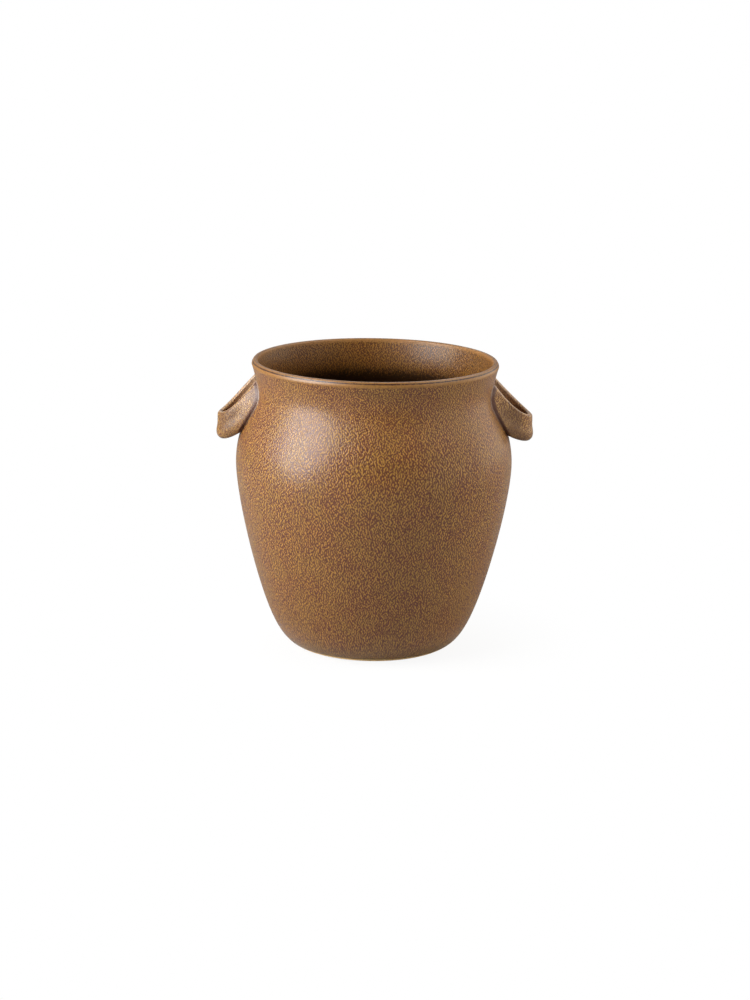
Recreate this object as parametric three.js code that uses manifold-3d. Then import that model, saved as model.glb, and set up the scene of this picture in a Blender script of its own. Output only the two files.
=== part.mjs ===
// Round-bellied stoneware planter jar: a hollow body with a rolled lip and a recessed foot,
// and two strap ears fixed to its shoulder. Millimetres, +Z up, standing on z = 0.
import * as THREE from "three";
import { mergeVertices } from "three/addons/utils/BufferGeometryUtils.js";
import Module from "manifold-3d";

// ---- jar body: heights of its stretches from the foot up, and its radii ----
const heelHeight = 22.5;
const lowerWallHeight = 138;
const shoulderHeight = 65;
const neckFlareHeight = 20.1;
const lipHeight = 4.4;
const footRadius = 63;
const heelRadius = 86;
const bellyRadius = 119;
const neckRadius = 102;
const rimRadius = 105.8;
const lipRoll = 3.3;
const wallThickness = 6;
const floorThickness = 8;
const footRingWidth = 11;
const footRecess = 2.5;
const lathSegments = 72;

// Levels where the stretches meet.
const bellyLevel = heelHeight + lowerWallHeight;
const neckLevel = bellyLevel + shoulderHeight;
const rimLevel = neckLevel + neckFlareHeight;
const jarHeight = rimLevel + lipHeight;

// Directions of the profile where its stretches meet, in radians above the horizontal.
const footSlope = 0.05;
const heelSlope = 1.12;
const rimSlope = 1.22;

// ---- ears ----
const earReach = 17.8;
const earInnerHalfWidth = 17.3;
const archSetOut = 1;
const strapThickness = 4.8;
const rootFlare = 8;
const earTipDrop = 20.9;
const earTipHeight = 23.4;
const upperEdgeRise = 26.5;
const lowerEdgeRise = 14;
const upperEdgeSweep = 1.37;
const lowerEdgeSweep = 1.5;
const flareSweep = 2.2;
const flareTop = 0.3;
const earLean = 1;
const waistDepth = 0.7;
const waistLevel = 0.55;
const waistSpread = 0.16;
const archStations = 33;
const armStations = 3;
const sideStations = 5;
const edgeStations = 5;

// The ears hang below the neck.
const earTipTop = neckLevel - earTipDrop;
const earTipBottom = earTipTop - earTipHeight;

// ---- fits ----
const jointGap = 0.3;
const armEmbedding = 10;

const wasm = await Module();
wasm.setup();

// Points on a cubic curve between two ends, each end given with its direction and handle length.
function curve(start, startSlope, startHandle, end, endSlope, endHandle, steps) {
  const leave = new THREE.Vector2(Math.cos(startSlope), Math.sin(startSlope));
  const arrive = new THREE.Vector2(Math.cos(endSlope), Math.sin(endSlope));
  const bezier = new THREE.CubicBezierCurve(
    start,
    start.clone().addScaledVector(leave, startHandle),
    end.clone().addScaledVector(arrive, -endHandle),
    end,
  );
  return bezier.getPoints(steps);
}

// Outer face from the foot up to the widest part of the lip.
function outerWall() {
  const upright = Math.PI / 2;
  const foot = new THREE.Vector2(footRadius, 0);
  const heel = new THREE.Vector2(heelRadius, heelHeight);
  const belly = new THREE.Vector2(bellyRadius, bellyLevel);
  const neck = new THREE.Vector2(neckRadius, neckLevel);
  const rim = new THREE.Vector2(rimRadius, rimLevel);
  const heelReach = foot.distanceTo(heel);
  const lowerReach = heel.distanceTo(belly);
  const shoulderReach = belly.distanceTo(neck);
  const flareReach = neck.distanceTo(rim);
  return [
    ...curve(foot, footSlope, 0.38 * heelReach, heel, heelSlope, 0.22 * heelReach, 7),
    ...curve(heel, heelSlope, 0.23 * lowerReach, belly, upright, 0.21 * lowerReach, 10).slice(1),
    ...curve(belly, upright, 0.5 * shoulderReach, neck, upright, 0.27 * shoulderReach, 10).slice(1),
    ...curve(neck, upright, 0.36 * flareReach, rim, rimSlope, 0.22 * flareReach, 5).slice(1),
  ];
}

// The same run of points moved sideways: positive away from the jar's axis, negative into the wall.
function offsetPoints(points, distanceAt) {
  return points.map((point, index) => {
    const before = points[Math.max(index - 1, 0)];
    const after = points[Math.min(index + 1, points.length - 1)];
    const along = after.clone().sub(before).normalize();
    const outward = new THREE.Vector2(along.y, -along.x);
    return point.clone().addScaledVector(outward, distanceAt(point));
  });
}

// A quarter of an ellipse between two angles, about a centre.
function ellipseArc(centre, across, up, startAngle, endAngle, steps) {
  const points = [];
  for (let index = 0; index <= steps; index += 1) {
    const angle = startAngle + ((endAngle - startAngle) * index) / steps;
    points.push(new THREE.Vector2(
      centre.x + across * Math.cos(angle),
      centre.y + up * Math.sin(angle),
    ));
  }
  return points;
}

// Whole section of the body, from the axis under the floor round to the axis on the floor.
function bodySection() {
  const outer = outerWall();
  const thicknessAt = (point) => {
    const lowered = Math.max(0, 1 - point.y / heelHeight);
    return -(wallThickness + (floorThickness - wallThickness) * lowered);
  };
  const inner = offsetPoints(outer, thicknessAt).reverse();
  inner[inner.length - 1].set(footRadius, floorThickness);
  const crestRadius = rimRadius - lipRoll;
  const lipOuter = new THREE.Vector2(crestRadius, rimLevel);
  const lipInner = new THREE.Vector2(crestRadius, inner[0].y);
  const innerRoll = crestRadius - inner[0].x;
  const innerRise = jarHeight - inner[0].y;
  const ringInner = footRadius - footRingWidth;
  return [
    new THREE.Vector2(0, footRecess),
    new THREE.Vector2(ringInner - footRecess, footRecess),
    new THREE.Vector2(ringInner, 0),
    ...outer,
    ...ellipseArc(lipOuter, lipRoll, lipHeight, 0, Math.PI / 2, 5).slice(1),
    ...ellipseArc(lipInner, innerRoll, innerRise, Math.PI / 2, Math.PI, 4).slice(1),
    ...inner.slice(1),
    new THREE.Vector2(0, floorThickness),
  ];
}

// Solid that fills the jar out to just past its outer face, for trimming the ears to it.
function trimmingSection() {
  const grown = offsetPoints(outerWall(), () => jointGap);
  const above = jarHeight + upperEdgeRise;
  return [
    new THREE.Vector2(0, grown[0].y),
    ...grown,
    new THREE.Vector2(rimRadius + jointGap, above),
    new THREE.Vector2(0, above),
  ];
}

// Shared corners joined and collapsed triangles dropped, leaving one closed skin.
function closedSkin(geometry) {
  geometry.deleteAttribute("normal");
  geometry.deleteAttribute("uv");
  const merged = mergeVertices(geometry, 1e-4);
  const corners = merged.index.array;
  const kept = [];
  for (let index = 0; index < corners.length; index += 3) {
    const [first, second, third] = corners.slice(index, index + 3);
    if (first !== second && second !== third && third !== first) {
      kept.push(first, second, third);
    }
  }
  merged.setIndex(kept);
  return merged;
}

// A section turned about the upright axis.
function turned(section) {
  const geometry = new THREE.LatheGeometry(section, lathSegments);
  geometry.rotateX(Math.PI / 2);
  return closedSkin(geometry);
}

// Strap section at one station along the loop: the lower edge is thick and full, the upper thin.
// Each entry gives the distances out from the inner face to the strap's two sides, and a height.
function strapSection(bottom, top, flare) {
  const lowerRound = (strapThickness + flare) / 2;
  const upperRound = strapThickness / 2;
  const samples = [];
  for (let index = 0; index < edgeStations; index += 1) {
    const angle = (Math.PI / 2) * (index / (edgeStations - 1));
    samples.push({ height: bottom + lowerRound * (1 - Math.cos(angle)), fullness: Math.sin(angle) });
  }
  const sideStart = bottom + lowerRound;
  const sideEnd = top - upperRound;
  for (let index = 1; index <= sideStations; index += 1) {
    const part = index / (sideStations + 1);
    samples.push({ height: sideStart + (sideEnd - sideStart) * part, fullness: 1 });
  }
  for (let index = edgeStations - 1; index >= 0; index -= 1) {
    const angle = (Math.PI / 2) * (index / (edgeStations - 1));
    samples.push({ height: top - upperRound * (1 - Math.cos(angle)), fullness: Math.sin(angle) });
  }
  return samples.map(({ height, fullness }) => {
    const level = (height - bottom) / (top - bottom);
    const taper = Math.max(0, (level - flareTop) / (1 - flareTop));
    const thickness = strapThickness + flare * (1 - taper * taper);
    const waist = waistDepth * Math.exp(-(((level - waistLevel) / waistSpread) ** 2));
    return {
      height,
      level,
      outer: (thickness / 2) * (1 + fullness) - waist * fullness,
      inner: (thickness / 2) * (1 - fullness),
    };
  });
}

// One closed ring of the strap at an angle round its arch; setBack runs the arms into the wall.
function strapRing(angle, setBack) {
  const archCentre = neckRadius + archSetOut;
  const outerSpan = bellyRadius + earReach - archCentre;
  const innerSpan = outerSpan - strapThickness;
  const forward = Math.cos(angle) - setBack / outerSpan;
  const run = 1 - forward;
  const bottom = earTipBottom + lowerEdgeRise * run ** lowerEdgeSweep;
  const top = earTipTop + upperEdgeRise * run ** upperEdgeSweep;
  const flare = rootFlare * Math.min(run, 1.15) ** flareSweep;
  const outward = new THREE.Vector2(Math.cos(angle) / innerSpan, Math.sin(angle) / earInnerHalfWidth);
  outward.normalize();
  const place = (distance, { height, level }) => new THREE.Vector3(
    archCentre + innerSpan * Math.cos(angle) - setBack + distance * outward.x
      - earLean * level * Math.max(forward, 0),
    earInnerHalfWidth * Math.sin(angle) + distance * outward.y,
    height,
  );
  const samples = strapSection(bottom, top, flare);
  const outerSide = samples.map((sample) => place(sample.outer, sample));
  const innerSide = samples.slice(1, -1).reverse().map((sample) => place(sample.inner, sample));
  return [...outerSide, ...innerSide];
}

// Closed strap whose two arms end inside the jar's wall.
function strapSkin() {
  const rings = [];
  for (let index = 0; index < armStations; index += 1) {
    rings.push(strapRing(-Math.PI / 2, armEmbedding * (1 - index / armStations)));
  }
  for (let index = 0; index < archStations; index += 1) {
    rings.push(strapRing(Math.PI * (index / (archStations - 1) - 0.5), 0));
  }
  for (let index = armStations - 1; index >= 0; index -= 1) {
    rings.push(strapRing(Math.PI / 2, armEmbedding * (1 - index / armStations)));
  }
  const perRing = rings[0].length;
  const positions = rings.flat().flatMap((point) => point.toArray());
  const triangles = [];
  for (let ring = 0; ring < rings.length - 1; ring += 1) {
    for (let step = 0; step < perRing; step += 1) {
      const here = ring * perRing + step;
      const beside = ring * perRing + ((step + 1) % perRing);
      triangles.push(here, here + perRing, beside);
      triangles.push(beside, here + perRing, beside + perRing);
    }
  }
  const last = (rings.length - 1) * perRing;
  for (const [start, flip] of [[0, false], [last, true]]) {
    const middle = new THREE.Vector3();
    for (let step = 0; step < perRing; step += 1) {
      middle.add(rings[start / perRing][step]);
    }
    middle.divideScalar(perRing);
    const hub = positions.length / 3;
    positions.push(...middle.toArray());
    for (let step = 0; step < perRing; step += 1) {
      const here = start + step;
      const beside = start + ((step + 1) % perRing);
      triangles.push(...(flip ? [hub, beside, here] : [hub, here, beside]));
    }
  }
  const geometry = new THREE.BufferGeometry();
  geometry.setAttribute("position", new THREE.Float32BufferAttribute(positions, 3));
  geometry.setIndex(triangles);
  return geometry;
}

function toSolid(geometry) {
  return new wasm.Manifold(new wasm.Mesh({
    numProp: 3,
    vertProperties: new Float32Array(geometry.attributes.position.array),
    triVerts: new Uint32Array(geometry.index.array),
  }));
}

function fromSolid(solid) {
  const mesh = solid.getMesh();
  const geometry = new THREE.BufferGeometry();
  geometry.setAttribute("position", new THREE.BufferAttribute(new Float32Array(mesh.vertProperties), 3));
  geometry.setIndex(Array.from(mesh.triVerts));
  return geometry;
}

// Half a turn about the upright axis carries an ear to the other side of the jar.
function turnedHalfway(geometry) {
  const copy = geometry.clone();
  copy.rotateZ(Math.PI);
  return copy;
}

function named(name, geometry, colour, roughness) {
  geometry.computeVertexNormals();
  const material = new THREE.MeshStandardMaterial({ color: colour, roughness, metalness: 0 });
  const mesh = new THREE.Mesh(geometry, material);
  mesh.name = name;
  return mesh;
}

const bodySkin = turned(bodySection());
const earSkin = fromSolid(toSolid(strapSkin()).subtract(toSolid(turned(trimmingSection()))));

const group = new THREE.Group();
group.name = "planter_jar";
group.add(named("jar_body", bodySkin, 0x8a6238, 0.5));
group.add(named("left_ear", turnedHalfway(earSkin), 0x8f6840, 0.45));
group.add(named("right_ear", earSkin, 0x8f6840, 0.45));

export default group;
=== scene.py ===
import math

import bpy
import numpy as np
from mathutils import Matrix, Vector


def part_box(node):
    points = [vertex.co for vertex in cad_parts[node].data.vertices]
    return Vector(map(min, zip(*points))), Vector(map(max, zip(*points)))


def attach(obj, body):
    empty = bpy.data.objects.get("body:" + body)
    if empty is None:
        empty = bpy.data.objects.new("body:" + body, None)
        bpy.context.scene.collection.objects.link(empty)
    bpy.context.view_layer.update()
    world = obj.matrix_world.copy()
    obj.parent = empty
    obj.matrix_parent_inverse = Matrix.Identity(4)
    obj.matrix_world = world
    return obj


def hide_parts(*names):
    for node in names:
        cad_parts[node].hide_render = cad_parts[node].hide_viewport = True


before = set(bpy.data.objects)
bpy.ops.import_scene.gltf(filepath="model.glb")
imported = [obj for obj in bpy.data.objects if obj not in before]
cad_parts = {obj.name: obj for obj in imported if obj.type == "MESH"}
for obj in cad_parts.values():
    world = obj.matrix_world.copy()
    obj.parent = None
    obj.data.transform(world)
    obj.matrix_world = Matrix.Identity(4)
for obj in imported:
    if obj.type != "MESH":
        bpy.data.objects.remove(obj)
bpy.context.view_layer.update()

MM = 0.001
UPRIGHT = math.pi / 2

# ---- jar body, millimetres: the turned profile, from the foot up ----
_, body_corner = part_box("jar_body")
JAR_HEIGHT = body_corner.z / MM
BELLY_RADIUS = body_corner.x / MM
HEEL_HEIGHT = 22.5
LOWER_WALL_HEIGHT = 138
SHOULDER_HEIGHT = 65
NECK_FLARE_HEIGHT = 20.1
FOOT_RADIUS = 63
HEEL_RADIUS = 86
NECK_RADIUS = 102
RIM_RADIUS = 105.8
LIP_ROLL = 3.3
WALL_THICKNESS = 6
FLOOR_THICKNESS = 8
FOOT_RING_WIDTH = 11
FOOT_RECESS = 2.5
FOOT_EDGE_ROUND = 0.8
BELLY_LEVEL = HEEL_HEIGHT + LOWER_WALL_HEIGHT
NECK_LEVEL = BELLY_LEVEL + SHOULDER_HEIGHT
RIM_LEVEL = NECK_LEVEL + NECK_FLARE_HEIGHT
LIP_HEIGHT = JAR_HEIGHT - RIM_LEVEL

# Directions of the profile where its stretches meet, in radians above the horizontal.
FOOT_SLOPE = 0.05
HEEL_SLOPE = 1.12
RIM_SLOPE = 1.22

# How long each stretch holds its first and its last direction, as shares of the distance it spans.
FOOT_HOLDS = (0.38, 0.22)
LOWER_WALL_HOLDS = (0.23, 0.21)
SHOULDER_HOLDS = (0.5, 0.27)
NECK_HOLDS = (0.36, 0.22)

# The lip's scored line: its place and half width round the roll, in radians from the rim, and its depth.
SCORE_ANGLE = 0.62
SCORE_HALF_ANGLE = 0.2375
SCORE_DEPTH = 0.15

# Soft clay is never quite true: how far the wall is pushed in, in metres, and how closely it ripples.
UNEVENNESS = 0.00025
RIPPLE_SCALE = 14.0
UNEVENNESS_SEED = 3.0

# ---- how the glaze lies on the body, with painted shade inside and a painted reflection at the foot: levels in millimetres, amounts from 0 to 1 ----
# Thin over the neck's edge and the lip, outside and in.
NECK_THIN = 0.85
NECK_THIN_LEVELS = (RIM_LEVEL - 2.8, RIM_LEVEL + 0.6)
INNER_THIN = 0.8
INNER_THIN_LEVELS = (JAR_HEIGHT - 6, JAR_HEIGHT - 1)
# Pooled in the scored line and darker on the crest; painted shade deep inside, growing below the neck and
# less so again further down.
SCORE_POOL = 0.78
SCORE_POOL_HALF_WIDTH = 0.95
CREST_DARKENING = 0.5
CREST_LEVELS = (JAR_HEIGHT - 1.4, JAR_HEIGHT - 0.3)
DEEP_PAINTED_SHADE = 0.9
DEEP_SHADE_LEVELS = (NECK_LEVEL + 16, NECK_LEVEL - 18)
DEEPEST_SHADE_EASE = 0.6
DEEPEST_SHADE_LEVELS = (NECK_LEVEL - 20, NECK_LEVEL - 80)
# A pale line where the wall turns under, thin glaze there brightened as a painted reflection of the lit
# floor: how far it fades above the lowest wall that the camera sees.
FOOT_GLINT_FADE = (1.0, 1.9)
# The flecks are drawn out downwards as the glaze ran, below the neck and again near the foot.
BELLY_DRAW = 0.28
BELLY_DRAW_LEVELS = (NECK_LEVEL, NECK_LEVEL - 45)
FOOT_DRAW = 0.35
FOOT_DRAW_LEVELS = (60, 5)
# A thin band on the wall round each ear's root, by distance from the root.
JOINT_THIN = 0.5
JOINT_THIN_FADE = (0.4, 1.4)
JOINT_SEARCH = 8

# ---- ears, millimetres ----
_, ear_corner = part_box("right_ear")
EAR_TIP = ear_corner.x / MM
EAR_INNER_HALF_WIDTH = 17.3
ARCH_CENTRE = NECK_RADIUS + 1
STRAP_THICKNESS = 4.8
EAR_TIP_TOP = NECK_LEVEL - 20.9
EAR_TIP_BOTTOM = EAR_TIP_TOP - 23.4
# The strap's edges climb from the tip to the roots: by how much, and how late they do it.
NEAR_EDGE_RISE = 26.5
NEAR_EDGE_SWEEP = 1.4
FAR_EDGE_RISE = 28
FAR_EDGE_SWEEP = 1.1
LOWER_EDGE_RISE = 14
LOWER_EDGE_SWEEP = 1.5
# The strap's top leans in towards the jar, most at the tip.
EAR_LEAN = 2
# The strap thickens towards its roots: fully up to a level of its width, then less up to its top edge.
ROOT_FLARE = 8.5
FLARE_SWEEP = 3.0
FLARE_LIMIT = 1.15
FLARE_TOP = 0.3
# A shallow waist runs along the outer face.
WAIST_DEPTH = 0.5
WAIST_LEVEL = 0.55
WAIST_SPREAD = 0.2
# The lower edge is rolled in and rounded.
LOWER_ROLL = 2.4
LOWER_ROLL_INSIDE = 0.8
LOWER_ROLL_LEVEL = 0.36
LOWER_ROUND = 4.2
# Where the two clays were pressed together, the strap sinks in, narrows and has a small fillet.
ROOT_OVERRUN = 12
JOINT_SINK = 0.9
JOINT_FILLET = 0.6
FILLET_SWELL = 0.8
ROOT_TUCK = 3.2
ROOT_TUCK_REACH = 4.2
ROOT_TUCK_LIMIT = 1.2
INNER_FACE_TUCK = 0.45
CORE_TUCK = 0.7
# The left ear droops at its tip; the right one is lifted and reaches further out.
LEFT_EAR_DROOP = 1.8
RIGHT_EAR_DROOP = -0.4
RIGHT_EAR_EXTRA = 0.7
DROOP_START_INSET = 12
DROOP_END_INSET = 6

# ---- how the glaze lies on the ears, with painted shade at the roots and painted highlights and light: amounts from 0 to 1, fades in millimetres off the wall ----
# Glaze pooled at the roots, with painted shade in the groove between ear and wall.
ROOT_POOL_AND_SHADE = 0.85
ROOT_POOL_AND_SHADE_FADE = (5.0, 1.8)
WAIST_POOL = 0.3
WAIST_POOL_LEVEL = WAIST_LEVEL - 0.12
WAIST_POOL_SPREAD = 0.13
UPPER_EDGE_THIN = 0.45
UPPER_EDGE_THIN_SPREAD = 0.06
# A painted highlight along the strap's top edge.
UPPER_EDGE_PAINTED_HIGHLIGHT = 0.5
UPPER_EDGE_HIGHLIGHT_SPREAD = 0.02
# The arm away from the camera gets this share of the top edge's thin glaze and painted highlight.
FAR_ARM_SHARE = 0.35
# A painted highlight on the small fillet at the wall.
JOINT_PAINTED_HIGHLIGHT = 0.25
JOINT_HIGHLIGHT_FADE = (0.3, 0.9)
# Painted light on the strap's inner faces, where the near arm shades them, fading away from the wall.
INNER_FACE_PAINTED_LIGHT = 0.35
INNER_FACE_LIGHT_FADE = (28, 6)
# How much of the strap's height counts as run: its flecks are drawn out by the rest.
STRAP_RUN = 0.75

# ---- the sheet of flecks: metres, and turns in radians ----
# A turn round the pot is laid flat at one reach, whatever the radius there.
SHEET_REACH = 0.11
RIPPLES_PER_FLECK = 1.05
BACK_SHEET_SHIFT = 61.0
SHEET_JOIN_TURNS = (2.6, 2.75)
GRAIN_SCALE = 620.0
# How much the slow drift and the fine grain shift the level at which the glaze parts.
DRIFT_LEAN = 0.1
GRAIN_BREAK = 0.2

# ---- the glaze's colour: each pair says where a soft change starts and ends ----
PATCH_DRIFT = (0.3, 0.7)
THIN_BREAK = 0.5
THIN_GRADE = (0.25, 0.75)
FLECK_HOLD = 0.12
POOL_BREAK = 0.9
POOL_GRADE = (0.35, 0.75)
DARK_PATCH_DRIFT = (0.5, 0.64)
# Near the foot the glaze is evened to a darker olive, partly as painted shade of the floor's contact.
FOOT_EVEN_AND_SHADE_LEVELS = (0.003, 0.02)
LEAN_DRIFT = (0.38, 0.62)
WARMER = (1.015, 0.99, 0.99, 1)
GREENER = (0.985, 1.0, 1.0, 1)
SPECK_GRAIN = (0.25, 0.75)
THIN_CALM = 0.8

# ---- bare clay: how closely its clouds, iron specks and grit lie, and how they change ----
CLOUD_SCALE = 60.0
CLOUD_GRADE = (0.35, 0.65)
IRON_SCALE = 420.0
IRON_GRADE = (0.1, 0.22)
GRIT_SCALE = 900.0
GRIT_HEIGHT = 0.0001
CLAY_ROUGHNESS = (0.75, 0.92)

# ---- how finely the clay is meshed: rows in millimetres ----
WHEEL_SEGMENTS = 288
CURVE_STEPS = 240
LIP_STEPS = 22
OUTER_ROW = 1.6
INNER_ROW = 3
RING_ROW = 1.5
FLOOR_ROW = 5
UNDERSIDE_ROW = 6
MERGE_DISTANCE = 0.005
STRAP_STATIONS = 121
STRAP_ROUND_STEPS = 10
STRAP_SIDE_STEPS = 16
OVERRUN_STEPS = 24
ROOT_STEPS = 14

# ---- camera: the photograph's viewing angle; metres, and the lens in millimetres ----
CAMERA_ELEVATION = math.radians(14.04)
CAMERA_ROLL = math.radians(0.934)
CAMERA_DISTANCE = 2.0
CAMERA_LENS = 82.99
ORBIT_CENTRE = Vector((0, 0, 0.125))
AIM_POINT = Vector((0.00154, 0, 0.12570))

# ---- studio: metres, and greys from 0 to 1 ----
FLOOR_REACH = 6
FLOOR_GREY_SEEN = 0.85
FLOOR_GREY_UNDER_JAR = 0.58
FLOOR_GREY_AWAY = 0.32
FLOOR_GREY_RINGS = (0.075, 0.12)
FLOOR_WHITE_UNDER_JAR = 0.9
FLOOR_WHITE_RINGS = (0.07, 0.2)
# The walls' glow fades towards the front and the ceiling, by how far a direction points that way.
WALL_GLOW = 0.3
FRONT_GLOW = 0.0
FRONT_FADE = (0.55, 0.85)
CEILING_SHARE = 0.1
CEILING_FADE = (0.7, 0.82)
LAMP_TARGET = Vector((0, 0, 0.13))
WARM_GREEN_LOSS = 0.07
WARM_BLUE_LOSS = 0.17


# -------------------------------- curves

def smooth(values, start, end):
    """0 at the start, 1 at the end and an even change between; the end may be the lower of the two."""
    part = np.clip((np.asarray(values, float) - start) / (end - start), 0, 1)
    return part * part * (3 - 2 * part)


def bump(values, centre, half_width):
    """1 at the centre, falling off evenly on both sides."""
    return np.exp(-(((np.asarray(values, float) - centre) / half_width) ** 2))


def evenly(points, spacing):
    """The same run of points again, a spacing apart."""
    points = np.asarray(points, float)
    run = np.r_[0, np.cumsum(np.hypot(*np.diff(points, axis=0).T))]
    count = max(2, int(math.ceil(run[-1] / spacing)) + 1)
    at = np.linspace(0, run[-1], count)
    return np.stack([np.interp(at, run, points[:, 0]), np.interp(at, run, points[:, 1])], 1)


def curve(start, start_slope, end, end_slope, holds):
    """A cubic between two profile points that leaves and arrives at the slopes given."""
    start = np.array(start, float)
    end = np.array(end, float)
    reach = np.hypot(*(end - start))
    leave = start + holds[0] * reach * np.array([math.cos(start_slope), math.sin(start_slope)])
    arrive = end - holds[1] * reach * np.array([math.cos(end_slope), math.sin(end_slope)])
    t = np.linspace(0, 1, CURVE_STEPS)[:, None]
    return (1 - t) ** 3 * start + 3 * t * (1 - t) ** 2 * leave + 3 * t * t * (1 - t) * arrive + t**3 * end


def outer_wall():
    """Outer face from the foot up to the widest part of the lip."""
    foot = (FOOT_RADIUS, 0)
    heel = (HEEL_RADIUS, HEEL_HEIGHT)
    belly = (BELLY_RADIUS, BELLY_LEVEL)
    neck = (NECK_RADIUS, NECK_LEVEL)
    rim = (RIM_RADIUS, RIM_LEVEL)
    stretches = [
        curve(foot, FOOT_SLOPE, heel, HEEL_SLOPE, FOOT_HOLDS),
        curve(heel, HEEL_SLOPE, belly, UPRIGHT, LOWER_WALL_HOLDS),
        curve(belly, UPRIGHT, neck, UPRIGHT, SHOULDER_HOLDS),
        curve(neck, UPRIGHT, rim, RIM_SLOPE, NECK_HOLDS),
    ]
    return np.concatenate([stretches[0]] + [s[1:] for s in stretches[1:]])


WALL = outer_wall()


def wall_radius(height):
    return np.interp(height, WALL[:, 1], WALL[:, 0])


def wall_steepness(height):
    """Cosine between the wall's outward normal and the level plane."""
    step = 0.5
    slope = (wall_radius(height + step) - wall_radius(height - step)) / (2 * step)
    return 1 / np.sqrt(1 + slope * slope)


def moved_sideways(points, distance):
    """Each point moved square to the run of points: positive is away from the jar's axis."""
    along = np.gradient(points, axis=0)
    along /= np.hypot(*along.T)[:, None]
    outward = np.stack([along[:, 1], -along[:, 0]], 1)
    return points + outward * np.asarray(distance)[:, None]


def ellipse_arc(centre, across, up, start, end, steps):
    angle = np.linspace(start, end, steps)
    return np.stack([centre[0] + across * np.cos(angle), centre[1] + up * np.sin(angle)], 1)


# -------------------------------- the body's section and its glaze marks

def inner_wall():
    """Inner face from the neck down to the floor's edge, thicker walled below the heel."""
    lowered = np.clip(1 - WALL[:, 1] / HEEL_HEIGHT, 0, 1)
    thickness = WALL_THICKNESS + (FLOOR_THICKNESS - WALL_THICKNESS) * lowered
    inner = moved_sideways(WALL, -thickness)[::-1]
    inner[-1] = (FOOT_RADIUS, FLOOR_THICKNESS)
    return inner


def outer_lip():
    """The lip's roll from the rim up to the crest, with its scored line pressed in."""
    roll = ellipse_arc((RIM_RADIUS - LIP_ROLL, RIM_LEVEL), LIP_ROLL, LIP_HEIGHT, 0, UPRIGHT, LIP_STEPS)
    scored = bump(np.linspace(0, UPRIGHT, LIP_STEPS), SCORE_ANGLE, SCORE_HALF_ANGLE)
    return moved_sideways(roll, -SCORE_DEPTH * scored)


def inner_lip(inner_top):
    """The lip's roll from the crest down to the top of the inner face."""
    crest_radius = RIM_RADIUS - LIP_ROLL
    roll = crest_radius - inner_top[0]
    rise = JAR_HEIGHT - inner_top[1]
    return ellipse_arc((crest_radius, inner_top[1]), roll, rise, UPRIGHT, math.pi, LIP_STEPS)


def body_section():
    """Profile points (radius, height) from the middle of the underside to the middle of the floor."""
    inner = inner_wall()
    ring_inner = FOOT_RADIUS - FOOT_RING_WIDTH
    stretches = [
        ("underside", evenly([(0, FOOT_RECESS), (ring_inner - FOOT_RECESS, FOOT_RECESS)], UNDERSIDE_ROW)),
        ("ring", evenly([(ring_inner, 0), (FOOT_RADIUS - FOOT_EDGE_ROUND, 0)], RING_ROW)),
        ("wall", evenly(WALL, OUTER_ROW)),
        ("lip_out", outer_lip()[1:]),
        ("lip_in", inner_lip(inner[0])[1:]),
        ("inside", evenly(inner, INNER_ROW)[1:]),
        ("floor", evenly([inner[-1], (0, FLOOR_THICKNESS)], FLOOR_ROW)[1:]),
    ]
    points = np.concatenate([part for _, part in stretches])
    zone = np.concatenate([[name] * len(part) for name, part in stretches])
    return points, zone


def is_zone(zone, *names):
    return np.isin(zone, names).astype(float)


def glaze_marks(points, zone):
    """What each profile point carries: where the glaze is thin, pooled or missing, the painted shade deep
    inside, the foot's pale line with its painted reflection, and how it ran.
    """
    radius = points[:, 0]
    height = points[:, 1]
    along = np.cumsum(np.hypot(*np.diff(points, axis=0, prepend=points[:1]).T))
    neck_thin = NECK_THIN * smooth(height, *NECK_THIN_LEVELS) * is_zone(zone, "wall", "lip_out")
    inner_thin = INNER_THIN * smooth(height, *INNER_THIN_LEVELS) * is_zone(zone, "lip_in", "inside")
    on_lip = np.nonzero(zone == "lip_out")[0]
    scored_level = RIM_LEVEL + LIP_HEIGHT * math.sin(SCORE_ANGLE)
    scored = on_lip[np.argmin(np.abs(height[on_lip] - scored_level))]
    score = SCORE_POOL * bump(along, along[scored], SCORE_POOL_HALF_WIDTH)
    crest = CREST_DARKENING * smooth(height, *CREST_LEVELS)
    # Painted shade inside the jar: growing below the neck, easing again further down.
    deep_shade = smooth(height, *DEEP_SHADE_LEVELS) * (1 - DEEPEST_SHADE_EASE * smooth(height, *DEEPEST_SHADE_LEVELS))
    deep_shade = DEEP_PAINTED_SHADE * deep_shade * is_zone(zone, "inside", "floor")
    # The foot's pale line follows the lowest wall that the camera sees: a painted reflection of the lit floor
    # over thin glaze.
    seen_level = height * math.cos(CAMERA_ELEVATION) - radius * math.sin(CAMERA_ELEVATION)
    above_outline = seen_level - seen_level[zone == "wall"].min()
    belly_run = 1 - BELLY_DRAW * smooth(height, *BELLY_DRAW_LEVELS)
    foot_run = 1 - FOOT_DRAW * smooth(height, *FOOT_DRAW_LEVELS)
    return {
        "thin": neck_thin + inner_thin,
        "pool_and_shade": np.maximum.reduce([score, crest, deep_shade]),
        # The foot's pale line: thin glaze with a painted reflection of the lit floor.
        "edge": (1 - smooth(above_outline, *FOOT_GLINT_FADE)) * is_zone(zone, "wall"),
        "bare": is_zone(zone, "underside", "ring"),
        "inside": is_zone(zone, "lip_in", "inside", "floor"),
        "run": np.cumsum(np.diff(height, prepend=height[0]) * belly_run * foot_run) * MM,
        "unwrap": unwrapped(zone, along),
    }


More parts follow.
